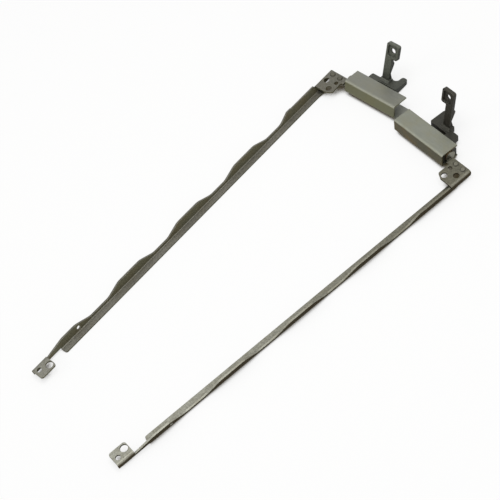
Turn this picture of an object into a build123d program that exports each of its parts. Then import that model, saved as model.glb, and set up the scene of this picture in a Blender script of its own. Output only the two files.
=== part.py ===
from build123d import *
import os
from math import cos, radians, sin, tan

# A pair of laptop display hinges, mirror images apart from their covers' lengths, lying on a table.
# Each hinge is modelled in its own frame, then placed. X runs inward from the outer face of the rail's
# flange, Y = 0 is the hinge axis with the rail's foot towards -Y, and Z = 0 is the underside of the rail.

# Rail: one folded steel sheet
sheet = 1.0
fold_radius = 0.5
flange_lean = 12.1
rail_length = 225.0
strip_width = 4.6
strip_start = 9.0
strip_start_width = 3.9
strip_start_corner = 1.2
strip_inset = 18.3
strip_corner = 1.1

# Scalloped top edge of the flange: lengths run from the hinge axis, insets from the rail's end and
# heights up along the flange, which leans outward
lobe_height = 5.54
low_height = 2.45
lobe_round = 8.0
lobe_ramp = 8.5
valley_flat = 10.8
first_lobe_end = 35.2
first_lobe_ramp = 6.5
nib_length = 3.6
nib_height = 0.35
nib_slope = 0.6
wave_lobes = 3
wave_start = 69.2
last_lobe_inset = 25.9
last_lobe_flat = 9.7
last_lobe_ramp = 9.0
side_hole = 2.2
side_hole_inset = 31.4
side_hole_height = 2.9

# Ear plate at the hinge end and foot plate at the far end, both folded inward from the flange
ear_top = 5.1
ear_width = 10.7
ear_front = 13.0
ear_back = 0.4
ear_reach = 12.0
ear_notch = 3.9
ear_notch_round = 0.5
ear_bevel_across = 3.4
ear_bevel_along = 1.7
ear_bevel_round = 1.0
ear_relief = 0.9
screw_hole = 3.3
screw_hole_a = (2.9, -6.5)
screw_hole_b = (7.5, -10.3)
pin_hole = 2.3
pin_hole_at = (8.5, -5.3)
foot_top = 4.6
foot_width = 7.7
foot_plate = 9.8
foot_corner = 1.4
foot_hole = 4.0
foot_hole_across = 5.0
foot_hole_inset = 7.5
foot_pin_hole = 2.7
foot_pin_across = 3.1
foot_pin_inset = 2.6

# Hinge axis and shaft
axis_height = 5.25
collar_face = 13.3
collar_diameter = 5.6
collar_length = 0.6
journal_diameter = 4.0
tongue_start = 1.7
tongue_front = 3.3
tongue_back = 0.4
tongue_thickness = 1.4
spindle_diameter = 3.0
spindle_flats = 2.4
spindle_shoulder = 0.6
spindle_stub = 0.7
rivet_diameter = 1.8
rivet_head = 3.1
rivet_crown = 2.0
rivet_head_height = 0.5
rivet_tail_height = 0.3
rivet_line = 1.75
rivet_places = (3.2, 8.1)

# Friction stack on the shaft
running_gap = 0.05
friction_washer_diameter = 5.6
outer_washer_thickness = 0.5
inner_washer_thickness = 0.6
keyed_washer_thickness = 0.6
keyed_washer_diameter = 5.8
spring_diameter = 5.8
spring_thickness = 0.4
spring_cone = 0.22
nut_flats = 5.0
nut_height = 2.2
washer_slip = 0.05

# Rest angles of the base units about the axis: 0 is square to the rail, positive is towards closed
left_rest_angle = -11.5
right_rest_angle = -4.5

# Base bracket: one casting, in the base unit's frame with the hinge axis at the origin of Y and Z
housing_length = 8.8
housing_back = 4.9
housing_front_round = 0.9
housing_back_round = 2.4
bar_start = 19.5
bar_front = 4.2
bar_back = 11.7
bar_top = 0.75
bar_bottom = -2.4
bar_corner = 0.9
block_outer = 25.4
block_front = 8.7
block_back = 14.2
finger_outer = 33.8
finger_inner = 37.3
finger_tip = 19.2
finger_tip_bottom = -1.35
finger_round = 1.4
notch_round = 2.2
plinth_front = 10.0
plinth_inner = 31.2
plinth_top = 1.7
plinth_round = 0.6

# Leaning post of the bracket: depths run back from its front face, heights up along it from the bar's top
post_outer = 26.2
post_inner = 30.5
post_front = 11.0
post_lean = 10.2
post_height = 22.9
post_thickness = 2.1
rib_top = 12.2
rib_height = 10.9
rib_low = 9.9
rib_depth = 3.1
waist_height = 5.0
waist_depth = 1.3
root_height = 1.2
root_depth = 2.9
post_round = 0.5
pad_inner = 33.9
pad_height = 8.6
pad_round = 1.1
pocket_margin = 1.1
pocket_depth = 0.8
pocket_round = 0.9
base_hole = 3.0

# Covers: thin folded channels, open at the back and at both ends
left_cover_start = 14.6
left_cover_length = 32.9
left_cover_front = 5.1
left_cover_lip = 2.0
right_cover_start = 14.0
right_cover_length = 34.8
right_cover_front = 5.6
cover_back = 5.1
cover_height = 8.0
cover_wall = 0.8
cover_round = 1.3

# Places of the two hinges on the table: gap between the covers, set-back and toe-in of the left hinge
cover_gap = 5.55
left_set_back = 2.2
left_toe_in = 7.84

bend = fold_radius + sheet
lobe_pitch = (rail_length - last_lobe_inset - wave_start) / wave_lobes
lobe_flat = lobe_pitch - 2 * lobe_ramp - valley_flat
last_lobe_start = rail_length - last_lobe_inset - last_lobe_flat / 2
strip_end = rail_length - strip_inset
tongue_top = ear_top - sheet
cover_inside = cover_height / 2 - cover_wall
housing_front = left_cover_front - cover_wall

# Stations of the friction stack along the axis
collar_end = collar_face + collar_length
housing_start = collar_end + running_gap + outer_washer_thickness
housing_end = housing_start + housing_length
keyed_start = housing_end + inner_washer_thickness + running_gap
spring_start = keyed_start + keyed_washer_thickness
nut_start = spring_start + spring_thickness + spring_cone
spindle_end = nut_start + nut_height + spindle_stub


def outline(points, rounds=()):
    # Closed flat shape; rounds holds pairs of corner number and radius
    face = make_face(Polyline(*points, close=True))
    for number, radius in rounds:
        corner = face.vertices().sort_by_distance((*points[number], 0))[0]
        face = fillet(corner, radius)
    return face


def prism(points, low, high, rounds=()):
    # Plan outline raised from low to high
    return Pos(0, 0, low) * extrude(outline(points, rounds), high - low, dir=(0, 0, 1))


def along_x(sketch, start, length):
    # Sketch drawn as (Y, Z) and drawn out along X
    return extrude(Plane((start, 0, 0), x_dir=(0, 1, 0), z_dir=(1, 0, 0)) * sketch, length)


def along_y(sketch, start, end):
    # Sketch drawn as (X, Z) and drawn out along Y
    return extrude(Plane((0, start, 0), x_dir=(1, 0, 0), z_dir=(0, -1, 0)) * sketch, start - end)


def lean_out(shape):
    # Turns the upright flange outward about the centre of its bottom fold
    return Pos(bend, 0, bend) * Rot(0, -flange_lean, 0) * Pos(-bend, 0, -bend) * shape


def fold_across(top):
    # Where the upper fold of a plate with the given top is centred across the rail
    return bend - (top - 2 * bend) * tan(radians(flange_lean))


def fold_along(top):
    # How far up along the flange that fold begins
    return bend + (top - 2 * bend) / cos(radians(flange_lean))


def fold(across, height, outward):
    # Turn of sheet from the leaning flange to a plate whose outer face looks outward, up or down
    reach = 2 * bend
    lean = radians(flange_lean)
    wedge = [(0, 0), (0, outward * reach), (-reach, outward * reach)]
    wedge += [(-reach * cos(lean), -reach * sin(lean))]
    ring = Circle(bend) - Circle(fold_radius)
    return Pos(across, height) * (ring & outline(wedge))


def flange_face():
    # Flange seen square on, as (Y, height), from the ear along the scallops to the foot
    ear_fold, foot_fold = fold_along(ear_top), fold_along(foot_top)
    points = [(ear_back, bend), (ear_back, ear_fold), (-ear_front, ear_fold)]
    points += [(-ear_front - ear_relief, lobe_height)]
    nib_start = first_lobe_end - nib_length
    points += [(-nib_start, lobe_height), (-nib_start - nib_slope, lobe_height + nib_height)]
    points += [(-first_lobe_end, lobe_height + nib_height)]
    soft = [(-first_lobe_end - first_lobe_ramp, low_height)]
    for number in range(wave_lobes):
        middle = wave_start + number * lobe_pitch
        near, far = middle - lobe_flat / 2, middle + lobe_flat / 2
        soft += [(-near + lobe_ramp, low_height), (-near, lobe_height)]
        soft += [(-far, lobe_height), (-far - lobe_ramp, low_height)]
    soft += [(-last_lobe_start + last_lobe_ramp, low_height), (-last_lobe_start, lobe_height)]
    soft += [(-last_lobe_start - last_lobe_flat, lobe_height)]
    end = [(-rail_length + foot_plate, foot_fold), (-rail_length, foot_fold)]
    end += [(-rail_length, bend)]
    first_soft = len(points)
    rounds = [(first_soft + number, lobe_round) for number in range(len(soft))]
    return outline(points + soft + end, rounds)


def drill(x, y, top, diameter):
    # Cutter for an upright hole through a plate with the given top
    return Pos(x, y, top - sheet / 2) * Cylinder(diameter / 2, 2 * sheet)


def make_rail():
    flange = along_x(flange_face(), 0, sheet)
    side_hole_place = Pos(sheet / 2, side_hole_inset - rail_length, side_hole_height)
    flange -= side_hole_place * Rot(0, 90, 0) * Cylinder(side_hole / 2, 2 * sheet)
    rail = lean_out(flange)
    rail += along_y(fold(bend, bend, -1), -strip_start, -strip_end)
    strip = [(bend, -strip_start), (strip_start_width, -strip_start)]
    strip += [(strip_width, -strip_end), (bend, -strip_end)]
    rail += prism(strip, 0, sheet, [(1, strip_start_corner), (2, strip_corner)])
    ear_edge, foot_edge = fold_across(ear_top), fold_across(foot_top)
    rail += along_y(fold(ear_edge, ear_top - bend, 1), ear_back, -ear_front)
    ear = [(ear_edge, ear_back), (ear_reach, ear_back), (ear_reach, -ear_notch), (ear_width, -ear_notch)]
    ear += [(ear_width, -ear_front + ear_bevel_along), (ear_width - ear_bevel_across, -ear_front)]
    ear += [(ear_edge, -ear_front)]
    ear_rounds = [(3, ear_notch_round), (4, ear_bevel_round), (5, ear_bevel_round)]
    rail += prism(ear, ear_top - sheet, ear_top, ear_rounds)
    foot_front = -rail_length + foot_plate
    rail += along_y(fold(foot_edge, foot_top - bend, 1), foot_front, -rail_length)
    foot = [(foot_edge, foot_front), (foot_width, foot_front)]
    foot += [(foot_width, -rail_length), (foot_edge, -rail_length)]
    rail += prism(foot, foot_top - sheet, foot_top, [(1, foot_corner), (2, foot_corner)])
    rail -= drill(*screw_hole_a, ear_top, screw_hole)
    rail -= drill(*screw_hole_b, ear_top, screw_hole)
    rail -= drill(*pin_hole_at, ear_top, pin_hole)
    for x in rivet_places:
        rail -= drill(x, -rivet_line, ear_top, rivet_diameter)
    rail -= drill(foot_hole_across, foot_hole_inset - rail_length, foot_top, foot_hole)
    rail -= drill(foot_pin_across, foot_pin_inset - rail_length, foot_top, foot_pin_hole)
    return rail


def on_axis(shape, angle=0):
    # Lifts a piece drawn about X to the hinge axis, turned to an angle
    return Pos(0, 0, axis_height) * Rot(angle, 0, 0) * shape


def round_bar(start, end, diameter):
    return Pos((start + end) / 2, 0, 0) * Rot(0, 90, 0) * Cylinder(diameter / 2, end - start)


def make_shaft():
    shaft = round_bar(collar_face, collar_end, collar_diameter)
    shaft += round_bar(collar_end, housing_end - spindle_shoulder, journal_diameter)
    spindle = round_bar(housing_end - spindle_shoulder, spindle_end, spindle_diameter)
    flats = Box(2 * spindle_end, spindle_diameter, spindle_flats)
    shaft = on_axis(shaft + (spindle & flats))
    tongue = [(tongue_start, -tongue_front), (collar_face, -tongue_front)]
    tongue += [(collar_face, tongue_back), (tongue_start, tongue_back)]
    tongue_low = tongue_top - tongue_thickness
    shaft += prism(tongue, tongue_low, tongue_top)
    for x in rivet_places:
        hole = Cylinder(rivet_diameter / 2, tongue_thickness)
        shaft -= Pos(x, -rivet_line, (tongue_low + tongue_top) / 2) * hole
    return shaft


def make_rivet(x):
    # Set rivet: bevelled head above the ear, end standing out a little below the tongue
    low = tongue_top - tongue_thickness - rivet_tail_height
    rivet = Pos(0, 0, (ear_top + low) / 2) * Cylinder(rivet_diameter / 2, ear_top - low)
    head = Cone(rivet_head / 2, rivet_crown / 2, rivet_head_height)
    rivet += Pos(0, 0, ear_top + rivet_head_height / 2) * head
    return Pos(x, -rivet_line, 0) * rivet


def make_washer(start, thickness, diameter, bore):
    return round_bar(start, start + thickness, diameter) - round_bar(start, start + thickness, bore)


def make_keyed_washer():
    # Its hole has the spindle's two flats, so it turns with the shaft
    end = keyed_start + keyed_washer_thickness
    hole = round_bar(keyed_start, end, spindle_diameter + 2 * washer_slip)
    hole &= Box(2 * end, 2 * spindle_diameter, spindle_flats + 2 * washer_slip)
    return round_bar(keyed_start, end, keyed_washer_diameter) - hole


def make_disc_spring():
    # Shallow cone whose rim bears on the keyed washer and whose eye bears on the nut
    inner, outer = spindle_diameter / 2 + washer_slip, spring_diameter / 2
    corners = [(spring_start, outer), (spring_start + spring_thickness, outer)]
    corners += [(nut_start, inner), (nut_start - spring_thickness, inner)]
    return revolve(outline(corners), Axis.X)


def make_lock_nut():
    hexagon = RegularPolygon(nut_flats / 2, 6, major_radius=False)
    nut = along_x(hexagon, nut_start, nut_height)
    return nut - round_bar(nut_start, nut_start + nut_height, spindle_diameter)


def make_housing():
    # Bored block that fills the cover around the journal, with its free back corner well rounded
    section = [(-housing_front, -cover_inside), (-housing_front, cover_inside)]
    section += [(housing_back, cover_inside), (housing_back, -cover_inside)]
    rounds = [(0, housing_front_round), (1, housing_front_round), (2, housing_back_round)]
    housing = along_x(outline(section, rounds), housing_start, housing_length)
    return housing - round_bar(housing_start, housing_end, journal_diameter + 2 * running_gap)


def make_bar():
    # Flat bar behind the cover, on a neck from the housing, deeper under the post and ending in a finger
    plan = [(bar_start, bar_front), (bar_start, bar_back), (block_outer, bar_back)]
    plan += [(block_outer, block_back)]
    plan += [(finger_outer, block_back), (finger_outer, finger_tip), (finger_inner, finger_tip)]
    plan += [(finger_inner, block_front), (block_outer, block_front), (block_outer, bar_front)]
    rounds = [(number, bar_corner) for number in (1, 3, 7)]
    rounds += [(4, notch_round), (5, finger_round), (6, finger_round)]
    bar = prism(plan, bar_bottom, bar_top, rounds)
    under = [(block_back, bar_bottom), (finger_tip, finger_tip_bottom), (finger_tip, bar_bottom)]
    under_start = finger_outer - notch_round
    return bar - along_x(outline(under), under_start, finger_inner - under_start)


def make_plinth():
    # Raised foot of the post on the bar
    section = [(plinth_front, bar_bottom), (plinth_front, bar_top), (post_front, plinth_top)]
    section += [(block_back, plinth_top), (block_back, bar_bottom)]
    return along_x(outline(section, [(3, plinth_round)]), block_outer, plinth_inner - block_outer)


def make_post():
    # The side shape, drawn as (depth, height), is ribbed and waisted; the pad is drawn on the front face
    lean = radians(post_lean)
    foot = (0, post_front, bar_top)
    side = Plane(foot, x_dir=(0, cos(lean), -sin(lean)), z_dir=(1, 0, 0))
    front = Plane(foot, x_dir=(1, 0, 0), z_dir=(0, -cos(lean), sin(lean)))
    profile = [(0, 0), (0, post_height), (post_thickness, post_height), (post_thickness, rib_top)]
    profile += [(rib_depth, rib_height), (rib_depth, rib_low), (waist_depth, waist_height)]
    profile += [(root_depth, root_height), (root_depth, 0)]
    rounds = [(3, post_round), (4, post_round), (5, post_round), (6, post_round)]
    post = extrude(side * Pos(0, 0, post_outer) * outline(profile, rounds), post_inner - post_outer)
    pad_low = post_height - pad_height
    pad_shape = [(post_outer, pad_low), (post_outer, post_height)]
    pad_shape += [(pad_inner, post_height), (pad_inner, pad_low)]
    pad = extrude(front * outline(pad_shape, [(2, pad_round), (3, pad_round)]), -post_thickness)
    post += pad
    corner = front * Pos(post_outer, post_height, -post_thickness / 2)
    post = fillet(post.edges().sort_by_distance(corner.position)[0], pad_round)
    middle = front * Pos((post_outer + pad_inner) / 2, post_height - pad_height / 2)
    pocket_width = pad_inner - post_outer - 2 * pocket_margin
    pocket = RectangleRounded(pocket_width, pad_height - 2 * pocket_margin, pocket_round)
    post -= extrude(middle * pocket, -pocket_depth)
    return post - extrude(middle * Circle(base_hole / 2), -post_thickness)


def make_base_bracket():
    return make_housing() + make_bar() + make_plinth() + make_post()


def cover_section(front):
    middle = (cover_back - front) / 2
    outer = Pos(middle, 0) * Rectangle(front + cover_back, cover_height)
    outer = fillet(outer.vertices().sort_by(Axis.X)[:2], cover_round)
    inner = Pos(middle + cover_wall, 0) * Rectangle(front + cover_back, 2 * cover_inside)
    inner = fillet(inner.vertices().sort_by(Axis.X)[:2], cover_round - cover_wall)
    return outer - inner


def make_left_cover():
    # Its bottom wall stands out past the inner end as a lip
    section = cover_section(left_cover_front)
    below = Pos(0, -cover_inside - cover_wall) * Rectangle(4 * cover_back, 2 * cover_wall)
    end = left_cover_start + left_cover_length
    cover = along_x(section, left_cover_start, left_cover_length)
    return cover + along_x(section & below, end, left_cover_lip)


def make_right_cover():
    return along_x(cover_section(right_cover_front), right_cover_start, right_cover_length)


def make_hinge(rest_angle, cover):
    journal_bore = journal_diameter + 2 * running_gap
    spindle_bore = spindle_diameter + 2 * washer_slip
    outer_washer_start = housing_start - outer_washer_thickness
    washer_size = friction_washer_diameter
    outer_washer = make_washer(outer_washer_start, outer_washer_thickness, washer_size, journal_bore)
    inner_washer = make_washer(housing_end, inner_washer_thickness, washer_size, spindle_bore)
    return {
        "rail": make_rail(),
        "shaft": make_shaft(),
        "outer_rivet": make_rivet(rivet_places[0]),
        "inner_rivet": make_rivet(rivet_places[1]),
        "keyed_washer": on_axis(make_keyed_washer()),
        "disc_spring": on_axis(make_disc_spring()),
        "lock_nut": on_axis(make_lock_nut()),
        "base_bracket": on_axis(make_base_bracket(), rest_angle),
        "cover": on_axis(cover, rest_angle),
        "outer_friction_washer": on_axis(outer_washer, rest_angle),
        "inner_friction_washer": on_axis(inner_washer, rest_angle),
    }


def place_pair():
    # The right hinge is mirrored and lies square to the axes; the left one is turned in at its foot
    toe_in = radians(left_toe_in)
    left_cover_end = (left_cover_start + left_cover_length) * cos(toe_in) + cover_back * sin(toe_in)
    right_cover_end = right_cover_start + right_cover_length
    pair_width = left_cover_end + cover_gap + right_cover_end
    left_place = Pos(-pair_width / 2, -left_set_back, 0) * Rot(0, 0, left_toe_in)
    right_place = Pos(pair_width / 2, 0, 0)
    placed = {}
    for name, piece in make_hinge(left_rest_angle, make_left_cover()).items():
        placed["left_" + name] = left_place * piece
    for name, piece in make_hinge(right_rest_angle, make_right_cover()).items():
        placed["right_" + name] = right_place * mirror(piece, about=Plane.YZ)
    boxes = [piece.bounding_box() for piece in placed.values()]
    middle_x = (min(box.min.X for box in boxes) + max(box.max.X for box in boxes)) / 2
    middle_y = (min(box.min.Y for box in boxes) + max(box.max.Y for box in boxes)) / 2
    print("Half width and place of the hinge frame:", pair_width / 2, -middle_x, -middle_y)
    return {name: Pos(-middle_x, -middle_y, 0) * piece for name, piece in placed.items()}


os.makedirs("parts", exist_ok=True)
for node, solid in place_pair().items():
    export_step(solid, f"parts/{node}.step")
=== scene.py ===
import bpy
import math
from mathutils import Matrix, Vector

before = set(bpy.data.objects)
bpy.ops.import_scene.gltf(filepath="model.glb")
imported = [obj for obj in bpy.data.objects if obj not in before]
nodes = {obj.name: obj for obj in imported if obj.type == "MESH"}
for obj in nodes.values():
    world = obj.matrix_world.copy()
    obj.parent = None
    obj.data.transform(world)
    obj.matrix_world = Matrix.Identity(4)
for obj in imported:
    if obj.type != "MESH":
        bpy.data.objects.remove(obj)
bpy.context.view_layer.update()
scene = bpy.context.scene
white = (1.0, 1.0, 1.0, 1.0)
print("hinge pair loaded:", len(nodes), "nodes")


# small helpers for shader trees

def addNode(tree, kind, inputs=None, **settings):
    node = tree.nodes.new(kind)
    for key, value in settings.items():
        setattr(node, key, value)
    for key, value in (inputs or {}).items():
        if isinstance(value, bpy.types.NodeSocket):
            tree.links.new(value, node.inputs[key])
        else:
            node.inputs[key].default_value = value
    return node


def mathNode(tree, operation, first, second=0.0, clamp=False):
    inputs = {0: first, 1: second}
    return addNode(tree, "ShaderNodeMath", inputs, operation=operation, use_clamp=clamp).outputs[0]


def vectorNode(tree, operation, first, second):
    return addNode(tree, "ShaderNodeVectorMath", {0: first, 1: second}, operation=operation)


def remap(tree, value, low, high, outLow=0.0, outHigh=1.0):
    inputs = {"Value": value, "From Min": low, "From Max": high, "To Min": outLow, "To Max": outHigh}
    return addNode(tree, "ShaderNodeMapRange", inputs, clamp=True).outputs["Result"]


def mixColour(tree, factor, first, second, blend="MIX"):
    inputs = {0: factor, 6: first, 7: second}  # the mixer's colour sockets
    return addNode(tree, "ShaderNodeMix", inputs, data_type="RGBA", blend_type=blend).outputs[2]


def noise(tree, place, scale, detail, rough=0.5, twist=0.0):
    inputs = {"Vector": place, "Scale": scale, "Detail": detail, "Roughness": rough, "Distortion": twist}
    return addNode(tree, "ShaderNodeTexNoise", inputs).outputs["Fac"]


def objectPlace(tree):
    return addNode(tree, "ShaderNodeTexCoord").outputs["Object"]


def linear(red, green, blue):
    # screen colour of 0 to 255 as the shader's linear colour
    def one(value):
        share = value / 255
        return share / 12.92 if share <= 0.04045 else ((share + 0.055) / 1.055) ** 2.4
    return (one(red), one(green), one(blue), 1.0)


def newGroup(name, inputs, outputs):
    group = bpy.data.node_groups.new(name, "ShaderNodeTree")
    for label, kind, value in inputs:
        socket = group.interface.new_socket(label, in_out="INPUT", socket_type=kind)
        socket.default_value = value
    for label, kind in outputs:
        group.interface.new_socket(label, in_out="OUTPUT", socket_type=kind)
    return group, group.nodes.new("NodeGroupInput").outputs, group.nodes.new("NodeGroupOutput").inputs


# shared effects: grain of the skin, rubbed edges with painted edge highlights, grime with painted shade in
# corners, faces by their slope, tone along a run

grainShape = {"fineDetail": 5.0, "fineRough": 0.62, "fineLow": 0.32, "fineHigh": 0.68,
              "slowDetail": 3.0, "slowRough": 0.55, "slowTwist": 0.4, "slowLow": 0.3, "slowHigh": 0.7,
              "cloudLow": 0.42, "cloudHigh": 0.66}


def makeGrainGroup(shape):
    # fine speckle and slow clouding of a plated or cast skin, the speckle drawn out along the stretch
    inputs = [("Stretch", "NodeSocketVector", (1.0, 1.0, 1.0)), ("Speckle Scale", "NodeSocketFloat", 1500.0),
              ("Cloud Scale", "NodeSocketFloat", 90.0), ("Speckle", "NodeSocketFloat", 0.2),
              ("Cloud", "NodeSocketFloat", 0.1)]
    outputs = [("Shade", "NodeSocketFloat"), ("Height", "NodeSocketFloat"), ("Clouds", "NodeSocketFloat")]
    group, given, result = newGroup("skinGrain", inputs, outputs)
    place = objectPlace(group)
    drawn = vectorNode(group, "MULTIPLY", place, given["Stretch"]).outputs[0]
    fine = noise(group, drawn, given["Speckle Scale"], shape["fineDetail"], shape["fineRough"])
    slow = noise(group, place, given["Cloud Scale"],
                 shape["slowDetail"], shape["slowRough"], shape["slowTwist"])
    fineSwing = remap(group, fine, shape["fineLow"], shape["fineHigh"], -1.0, 1.0)
    slowSwing = remap(group, slow, shape["slowLow"], shape["slowHigh"], -1.0, 1.0)
    fineShift = mathNode(group, "MULTIPLY", fineSwing, given["Speckle"])
    slowShift = mathNode(group, "MULTIPLY", slowSwing, given["Cloud"])
    shade = mathNode(group, "ADD", mathNode(group, "ADD", fineShift, slowShift), 1.0)
    group.links.new(shade, result["Shade"])
    group.links.new(fine, result["Height"])
    group.links.new(remap(group, slow, shape["cloudLow"], shape["cloudHigh"]), result["Clouds"])
    return group


edgeShape = {"samples": 6, "turnStart": 0.985, "turnFull": 0.86,
             "patchScale": 700.0, "patchDetail": 3.0, "patchLow": 0.36, "patchHigh": 0.6}


def makeEdgeGroup(shape):
    # mask of rubbed edges and painted edge highlights, from the difference between the true and the rounded
    # normal
    inputs = [("Width", "NodeSocketFloat", 0.0003)]
    outputs = [("Wear And Highlight", "NodeSocketFloat"), ("Rounded", "NodeSocketVector")]
    group, given, result = newGroup("rubbedAndHighlightedEdges", inputs, outputs)
    bevel = addNode(group, "ShaderNodeBevel", {"Radius": given["Width"]}, samples=shape["samples"])
    rounded = bevel.outputs["Normal"]
    true = addNode(group, "ShaderNodeNewGeometry").outputs["True Normal"]
    turn = vectorNode(group, "DOT_PRODUCT", rounded, true).outputs["Value"]
    edge = remap(group, turn, shape["turnStart"], shape["turnFull"])
    patches = noise(group, objectPlace(group), shape["patchScale"], shape["patchDetail"])
    worn = mathNode(group, "MULTIPLY", edge, remap(group, patches, shape["patchLow"], shape["patchHigh"]))
    group.links.new(worn, result["Wear And Highlight"])
    group.links.new(rounded, result["Rounded"])
    return group


grimeAndShadeShape = {"samples": 6, "open": 0.95, "closed": 0.35, "patchScale": 260.0, "patchDetail": 3.0,
              "patchRough": 0.6, "patchLow": 0.25, "patchHigh": 0.65, "thinnest": 0.45}


def makeGrimeAndShadeGroup(shape):
    # mask of dull film and painted shade that gather in corners, folds and under parts, where the
    # surroundings block the light
    inputs = [("Reach", "NodeSocketFloat", 0.002)]
    outputs = [("Grime And Shade", "NodeSocketFloat")]
    group, given, result = newGroup("cornerGrimeAndShade", inputs, outputs)
    occlusion = addNode(group, "ShaderNodeAmbientOcclusion", {"Distance": given["Reach"]},
                        samples=shape["samples"])
    hollow = remap(group, occlusion.outputs["AO"], shape["open"], shape["closed"])
    patches = noise(group, objectPlace(group), shape["patchScale"], shape["patchDetail"], shape["patchRough"])
    spread = remap(group, patches, shape["patchLow"], shape["patchHigh"], shape["thinnest"], 1.0)
    group.links.new(mathNode(group, "MULTIPLY", hollow, spread), result["Grime And Shade"])
    return group


facingShape = {"foldStart": 0.6, "foldTop": 0.97, "foldFull": 0.85}


def makeFacingGroup(shape):
    # masks of the upright faces and of the round folds between them and the flat ones, which carry painted
    # shade and painted highlights
    inputs = [("Flat", "NodeSocketFloat", 0.8), ("Steep", "NodeSocketFloat", 0.35)]
    outputs = [("Upright", "NodeSocketFloat"), ("Fold", "NodeSocketFloat")]
    group, given, result = newGroup("facingBands", inputs, outputs)
    normal = addNode(group, "ShaderNodeTexCoord").outputs["Normal"]
    rise = addNode(group, "ShaderNodeSeparateXYZ", {0: normal}).outputs["Z"]
    slope = mathNode(group, "ABSOLUTE", rise)
    aboveSteep = remap(group, rise, given["Steep"], shape["foldStart"])
    belowFlat = remap(group, rise, shape["foldTop"], shape["foldFull"])
    group.links.new(remap(group, slope, given["Flat"], given["Steep"]), result["Upright"])
    group.links.new(mathNode(group, "MULTIPLY", aboveSteep, belowFlat), result["Fold"])
    return group


def makeRunGroup():
    # 0 to 1 along a direction, for a tone that changes from one end of a piece to the other
    inputs = [("Direction", "NodeSocketVector", (0.0, 1.0, 0.0)), ("From", "NodeSocketFloat", 0.0),
              ("To", "NodeSocketFloat", 1.0)]
    outputs = [("Share", "NodeSocketFloat")]
    group, given, result = newGroup("toneRun", inputs, outputs)
    along = vectorNode(group, "DOT_PRODUCT", objectPlace(group), given["Direction"]).outputs["Value"]
    group.links.new(remap(group, along, given["From"], given["To"]), result["Share"])
    return group


skinGrain = makeGrainGroup(grainShape)
rubbedAndHighlightedEdges = makeEdgeGroup(edgeShape)
cornerGrimeAndShade = makeGrimeAndShadeGroup(grimeAndShadeShape)
facingBands = makeFacingGroup(facingShape)
toneRun = makeRunGroup()
print("shared shader groups built")


def placeGroup(tree, group, inputs):
    return addNode(tree, "ShaderNodeGroup", inputs, node_tree=group).outputs


skinShape = {"foldHighlightLeft": 0.35, "heightLow": 0.3, "heightHigh": 0.7, "bumpDepth": 0.0001}


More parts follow.
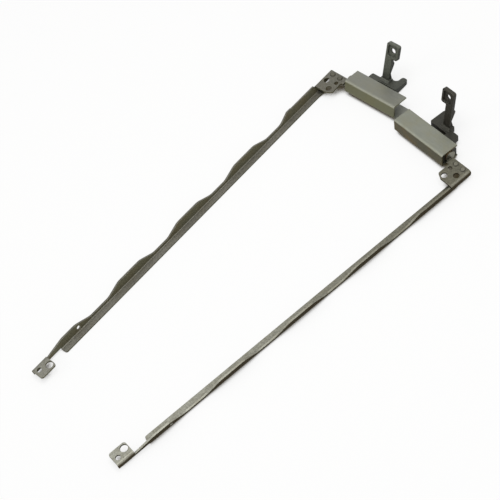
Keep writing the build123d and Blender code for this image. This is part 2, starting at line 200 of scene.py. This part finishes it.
def metalFinish(name, look):
    # one finish: tone with painted shade along a run, painted shade and painted reflection on upright faces,
    # painted highlights on folds, grain, grime with painted shade, and rubbed edges with painted highlights
    material = bpy.data.materials.new(name)
    material.use_nodes = True
    tree = material.node_tree
    shader = tree.nodes["Principled BSDF"]
    grain = placeGroup(tree, skinGrain, {
        "Stretch": look["stretch"], "Speckle Scale": look["speckleScale"], "Cloud Scale": look["cloudScale"],
        "Speckle": look["speckle"], "Cloud": look["cloud"]})
    edges = placeGroup(tree, rubbedAndHighlightedEdges, {"Width": look["wearAndHighlightWidth"]})
    grimeAndShade = placeGroup(tree, cornerGrimeAndShade, {"Reach": look["grimeAndShadeReach"]})["Grime And Shade"]
    facing = placeGroup(tree, facingBands, {"Flat": look["flat"], "Steep": look["steep"]})
    upright, clouds = facing["Upright"], grain["Clouds"]

    def layer(under, mask, share, colour):
        if not share:
            return under
        return mixColour(tree, mathNode(tree, "MULTIPLY", mask, share), under, linear(*colour))

    toned = linear(*look["colour"])
    # the run from colour to farColour is painted light: the rails lighter towards their feet and darker
    # towards their hinge ends, the castings darker towards their feet
    if look["farColour"]:  # the tone at the far end of the run
        run = {"Direction": look["run"], "From": look["runFrom"], "To": look["runTo"]}
        toned = mixColour(tree, placeGroup(tree, toneRun, run)["Share"], toned, linear(*look["farColour"]))
    clouded = layer(toned, clouds, look["tarnishShare"], look["tarnish"])
    # painted shade on the upright faces, with a painted reflection of an olive table on some
    sideShaded = layer(clouded, upright, look["sideShadeShare"], look["sideShadeColour"])
    # darker cloudy patches on upright faces: painted shade, and on the right cover and rail a painted
    # reflection of a brown table
    sideShadePatches = mathNode(tree, "MULTIPLY", upright, clouds)
    sideShadePatched = layer(sideShaded, sideShadePatches, look["sideShadePatchShare"], look["sideShadePatchColour"])
    # a painted highlight along the round folds, broken by the clouds
    highlightGaps = remap(tree, clouds, 0.0, 1.0, 1.0, skinShape["foldHighlightLeft"])
    brokenFoldHighlight = mathNode(tree, "MULTIPLY", facing["Fold"], highlightGaps)
    foldHighlighted = layer(sideShadePatched, brokenFoldHighlight, look["foldHighlightShare"], look["foldHighlightColour"])
    shades = addNode(tree, "ShaderNodeCombineColor", {channel: grain["Shade"] for channel in range(3)})
    speckled = mixColour(tree, 1.0, foldHighlighted, shades.outputs[0], "MULTIPLY")
    # grime with painted shade, darkest in corners and under parts
    grimedAndShaded = layer(speckled, grimeAndShade, look["grimeAndShadeShare"], look["grimeAndShadeColour"])
    # rubbed edges with a painted highlight along them
    rubbedAndHighlighted = layer(grimedAndShaded, edges["Wear And Highlight"], look["wearAndHighlightShare"], look["wearAndHighlightColour"])
    tree.links.new(rubbedAndHighlighted, shader.inputs["Base Color"])

    rough, spread = look["rough"], look["roughSpread"]
    grainRough = remap(tree, grain["Height"], skinShape["heightLow"], skinShape["heightHigh"],
                       rough - spread, rough + spread)
    sideRough = mathNode(tree, "MULTIPLY", upright, look["sideRough"])
    tree.links.new(mathNode(tree, "ADD", grainRough, sideRough, clamp=True), shader.inputs["Roughness"])
    if look["sideMetal"] == look["metal"]:
        shader.inputs["Metallic"].default_value = look["metal"]
    else:
        metal = remap(tree, upright, 0.0, 1.0, look["metal"], look["sideMetal"])
        tree.links.new(metal, shader.inputs["Metallic"])
    shader.inputs["Specular IOR Level"].default_value = look["gloss"]
    bump = addNode(tree, "ShaderNodeBump", {"Height": grain["Height"], "Normal": edges["Rounded"],
                                            "Strength": look["bump"], "Distance": skinShape["bumpDepth"]})
    tree.links.new(bump.outputs["Normal"], shader.inputs["Normal"])
    return material


def dress(material, *names):
    for name in names:
        node = nodes[name]
        node.data.materials.clear()
        node.data.materials.append(material)


# finishes: colours are screen colours, runs and widths are in metres, farColour None is one tone all over

# each part's left and right finishes are copies of one material: the colour differences between them are
# painted light and shade
railLooks = {"left": {
    "colour": (106, 104, 95), "farColour": (130, 129, 119),
    "run": (0, 1, 0), "runFrom": -0.09, "runTo": -0.12,
    "tarnish": (84, 80, 67), "tarnishShare": 0.5, "flat": 0.75, "steep": 0.35,
    "sideShadeColour": (106, 104, 82), "sideShadeShare": 0.9, "sideMetal": 0.3, "sideRough": 0.15,
    "sideShadePatchColour": (92, 82, 58), "sideShadePatchShare": 0.5, "foldHighlightColour": (126, 124, 112), "foldHighlightShare": 0.4,
    "stretch": (1, 1, 1), "speckleScale": 1300.0, "cloudScale": 260.0, "speckle": 0.26, "cloud": 0.14,
    "wearAndHighlightWidth": 0.0002, "wearAndHighlightShare": 0.7, "wearAndHighlightColour": (158, 155, 142),
    "grimeAndShadeReach": 0.002, "grimeAndShadeShare": 0.6, "grimeAndShadeColour": (48, 45, 36),
    "rough": 0.46, "roughSpread": 0.08, "metal": 0.55, "gloss": 0.35, "bump": 0.3}}
# right rail: darker, browner flanges, brighter folds and a paler foot end, painted shade and painted
# highlights
railLooks["right"] = dict(
    railLooks["left"], colour=(105, 103, 91), farColour=(154, 154, 143), runFrom=0.08, runTo=-0.12,
    tarnish=(90, 86, 72), sideShadeColour=(90, 84, 69), sideShadeShare=0.95, sideMetal=0.05, sideRough=0.35,
    sideShadePatchColour=(72, 58, 42), sideShadePatchShare=0.6, foldHighlightColour=(168, 166, 152), foldHighlightShare=0.5, gloss=0.05)

coverLooks = {"left": {
    "colour": (130, 131, 123), "farColour": None,
    "tarnish": (122, 120, 100), "tarnishShare": 0.5, "flat": 0.75, "steep": 0.35,
    "sideShadeColour": (116, 116, 88), "sideShadeShare": 0.9, "sideMetal": 0.35, "sideRough": 0.1,
    "sideShadePatchColour": (112, 108, 74), "sideShadePatchShare": 0.5, "foldHighlightColour": (158, 158, 142), "foldHighlightShare": 0.7,
    "stretch": (0.08, 1, 1), "speckleScale": 2200.0, "cloudScale": 80.0, "speckle": 0.06, "cloud": 0.08,
    "wearAndHighlightWidth": 0.0002, "wearAndHighlightShare": 0.6, "wearAndHighlightColour": (166, 166, 152),
    "grimeAndShadeReach": 0.004, "grimeAndShadeShare": 0.65, "grimeAndShadeColour": (60, 58, 42),
    "rough": 0.42, "roughSpread": 0.05, "metal": 0.55, "gloss": 0.4, "bump": 0.12}}
# right cover: darker, browner upright faces, painted shade and a painted reflection of a brown table
coverLooks["right"] = dict(
    coverLooks["left"], colour=(135, 137, 126), sideShadeColour=(80, 76, 54), sideMetal=0.2, sideRough=0.2,
    sideShadePatchColour=(104, 88, 54), sideShadePatchShare=0.6, cloudScale=150.0)

castingLooks = {"left": {
    "colour": (72, 74, 67), "farColour": (98, 102, 91),
    "run": (0, 0, 1), "runFrom": 0.004, "runTo": 0.009,
    "tarnish": (60, 60, 52), "tarnishShare": 0.4, "flat": 0.36, "steep": 0.2,
    "sideShadeColour": (50, 53, 47), "sideShadeShare": 0.85, "sideMetal": 0.2, "sideRough": 0.1,
    "sideShadePatchColour": (42, 43, 38), "sideShadePatchShare": 0.4, "foldHighlightColour": (112, 114, 104), "foldHighlightShare": 0.4,
    "stretch": (1, 1, 1), "speckleScale": 1000.0, "cloudScale": 220.0, "speckle": 0.22, "cloud": 0.16,
    "wearAndHighlightWidth": 0.0005, "wearAndHighlightShare": 0.8, "wearAndHighlightColour": (112, 113, 103),
    "grimeAndShadeReach": 0.005, "grimeAndShadeShare": 0.85, "grimeAndShadeColour": (24, 26, 22),
    "rough": 0.5, "roughSpread": 0.08, "metal": 0.35, "gloss": 0.4, "bump": 0.7}}
# right casting: darker all over, painted shade
castingLooks["right"] = dict(
    castingLooks["left"], colour=(50, 50, 43), farColour=(57, 54, 45), tarnish=(46, 45, 38),
    sideShadeColour=(44, 41, 33), sideShadePatchColour=(36, 33, 26), foldHighlightColour=(84, 83, 74), wearAndHighlightColour=(92, 90, 80))

shaftLook = dict(
    railLooks["right"], colour=(132, 131, 118), farColour=None, sideShadeShare=0.0, sideShadePatchShare=0.0, foldHighlightShare=0.0,
    rough=0.36, metal=0.85, sideMetal=0.85, sideRough=0.0, speckle=0.08, gloss=0.4)
rivetLooks = {"left": dict(
    shaftLook, colour=(96, 94, 82), flat=0.95, steep=0.7, metal=0.6, rough=0.44,
    sideShadeColour=(50, 47, 38), sideShadeShare=0.85, sideMetal=0.4, wearAndHighlightShare=0.5, wearAndHighlightColour=(150, 148, 136))}
# right rivets: lighter heads with bright rims, painted light and painted highlights
rivetLooks["right"] = dict(
    rivetLooks["left"], colour=(116, 114, 101), wearAndHighlightShare=0.9, wearAndHighlightColour=(200, 197, 184))
washerLook = dict(shaftLook, colour=(150, 148, 140), metal=1.0, sideMetal=1.0)
springLook = dict(shaftLook, colour=(112, 108, 100), metal=1.0, sideMetal=1.0, rough=0.32)
bronzeLook = dict(shaftLook, colour=(150, 118, 76), tarnish=(112, 86, 54), metal=1.0, sideMetal=1.0,
                  wearAndHighlightColour=(186, 156, 112))

turnedSteel = metalFinish("turnedSteel", shaftLook)
stampedSteel = metalFinish("stampedSteel", washerLook)
springSteel = metalFinish("springSteel", springLook)
plainBronze = metalFinish("plainBronze", bronzeLook)
for side in ("left", "right"):
    dress(metalFinish(f"{side}RailPlate", railLooks[side]), f"{side}_rail")
    dress(metalFinish(f"{side}CoverSheet", coverLooks[side]), f"{side}_cover")
    dress(metalFinish(f"{side}Casting", castingLooks[side]), f"{side}_base_bracket")
    dress(metalFinish(f"{side}RivetHead", rivetLooks[side]), f"{side}_outer_rivet", f"{side}_inner_rivet")
    dress(turnedSteel, f"{side}_shaft")
    dress(stampedSteel, f"{side}_keyed_washer", f"{side}_lock_nut")
    dress(springSteel, f"{side}_disc_spring")
    dress(plainBronze, f"{side}_outer_friction_washer", f"{side}_inner_friction_washer")
print("finishes on all nodes")


# camera at the photograph's angle, held with a roll

cameraLook = {"place": (0.38628, -0.178853, 0.5896), "target": (0.00233, -0.004073, 0.0005),
              "roll": 18.75, "lens": 104.82, "sensor": 36.0, "nearest": 0.01, "farthest": 20.0}


def makeCamera(look):
    place, target = Vector(look["place"]), Vector(look["target"])
    forward = (target - place).normalized()
    right = forward.cross(Vector((0, 0, 1))).normalized()
    down = forward.cross(right)
    roll = math.radians(look["roll"])
    pictureRight = math.cos(roll) * right + math.sin(roll) * down
    pictureUp = math.sin(roll) * right - math.cos(roll) * down
    turn = Matrix((pictureRight, pictureUp, -forward)).transposed()
    lens = bpy.data.cameras.new("photoCamera")
    lens.lens, lens.sensor_width = look["lens"], look["sensor"]
    lens.clip_start, lens.clip_end = look["nearest"], look["farthest"]
    camera = bpy.data.objects.new("photoCamera", lens)
    camera.matrix_world = Matrix.Translation(place) @ turn.to_4x4()
    scene.collection.objects.link(camera)
    scene.camera = camera


makeCamera(cameraLook)


# pale floor and soft light

def chooseSeen(tree, unseen, seen, output):
    # rays from the camera, and what metal mirrors, meet the seen shader, and all other light the unseen one
    path = addNode(tree, "ShaderNodeLightPath").outputs
    mirrored = mathNode(tree, "MAXIMUM", path["Is Glossy Ray"], path["Is Transmission Ray"])
    direct = mathNode(tree, "MAXIMUM", path["Is Camera Ray"], mirrored)
    choose = addNode(tree, "ShaderNodeMixShader", {0: direct, 1: unseen.outputs[0], 2: seen.outputs[0]})
    addNode(tree, output, {"Surface": choose.outputs[0]})


floorLook = {"size": 8.0, "drop": 0.00002, "diffuse": 0.28, "glow": 0.73, "bounceColour": (150, 143, 120),
             "shadeColour": (66, 59, 43), "shadeReach": 0.012, "shadeFrom": 0.34, "shadeTo": 0.52,
             "shadeSamples": 16}


def makeFloor(look):
    half = look["size"] / 2
    corners = [(-half, -half, 0), (half, -half, 0), (half, half, 0), (-half, half, 0)]
    mesh = bpy.data.meshes.new("paleFloor")
    mesh.from_pydata(corners, [], [(0, 1, 2, 3)])
    floor = bpy.data.objects.new("paleFloor", mesh)
    floor.location.z = -look["drop"]  # just clear of the rails' undersides
    scene.collection.objects.link(floor)
    material = bpy.data.materials.new("paleFloor")
    material.use_nodes = True
    tree = material.node_tree
    tree.nodes.clear()
    opening = addNode(tree, "ShaderNodeAmbientOcclusion", {"Distance": look["shadeReach"]},
                      samples=look["shadeSamples"])
    opened = remap(tree, opening.outputs["AO"], look["shadeFrom"], look["shadeTo"])
    grey, shade = look["diffuse"], linear(*look["shadeColour"])
    ground = mixColour(tree, opened, shade, (grey, grey, grey, 1.0))
    paper = mixColour(tree, opened, shade, white)
    plain = addNode(tree, "ShaderNodeBsdfDiffuse", {"Color": ground})
    glow = addNode(tree, "ShaderNodeEmission", {"Color": paper, "Strength": look["glow"]})
    both = addNode(tree, "ShaderNodeAddShader", {0: plain.outputs[0], 1: glow.outputs[0]})
    bounce = addNode(tree, "ShaderNodeBsdfDiffuse", {"Color": linear(*look["bounceColour"])})
    chooseSeen(tree, bounce, both, "ShaderNodeOutputMaterial")
    mesh.materials.append(material)


worldLook = {"colour": (0.5, 0.5, 0.49, 1.0), "strength": 0.75}


def makeWorld(look):
    world = bpy.data.worlds.new("studio")
    world.use_nodes = True
    scene.world = world
    tree = world.node_tree
    tree.nodes.clear()
    soft = addNode(tree, "ShaderNodeBackground", {"Color": look["colour"], "Strength": look["strength"]})
    backdrop = addNode(tree, "ShaderNodeBackground", {"Color": white, "Strength": 1.0})
    chooseSeen(tree, soft, backdrop, "ShaderNodeOutputWorld")


lampLooks = {
    "topSoftbox": {"place": (0.05, 0.05, 1.05), "aim": (0, 0, 0), "size": 0.8, "power": 6.3},
    "frontSoftbox": {"place": (-0.4, -1.0, 0.7), "aim": (0, 0, 0), "size": 0.7, "power": 1.6},
}


def makeLamp(name, look):
    lamp = bpy.data.lights.new(name, "AREA")
    lamp.shape, lamp.size, lamp.energy = "DISK", look["size"], look["power"]
    holder = bpy.data.objects.new(name, lamp)
    holder.location = look["place"]
    away = Vector(look["aim"]) - Vector(look["place"])
    holder.rotation_euler = away.to_track_quat("-Z", "Y").to_euler()
    scene.collection.objects.link(holder)


makeFloor(floorLook)
makeWorld(worldLook)
for name, look in lampLooks.items():
    makeLamp(name, look)
scene.view_settings.view_transform = "Standard"
print("camera, floor and lamps set")
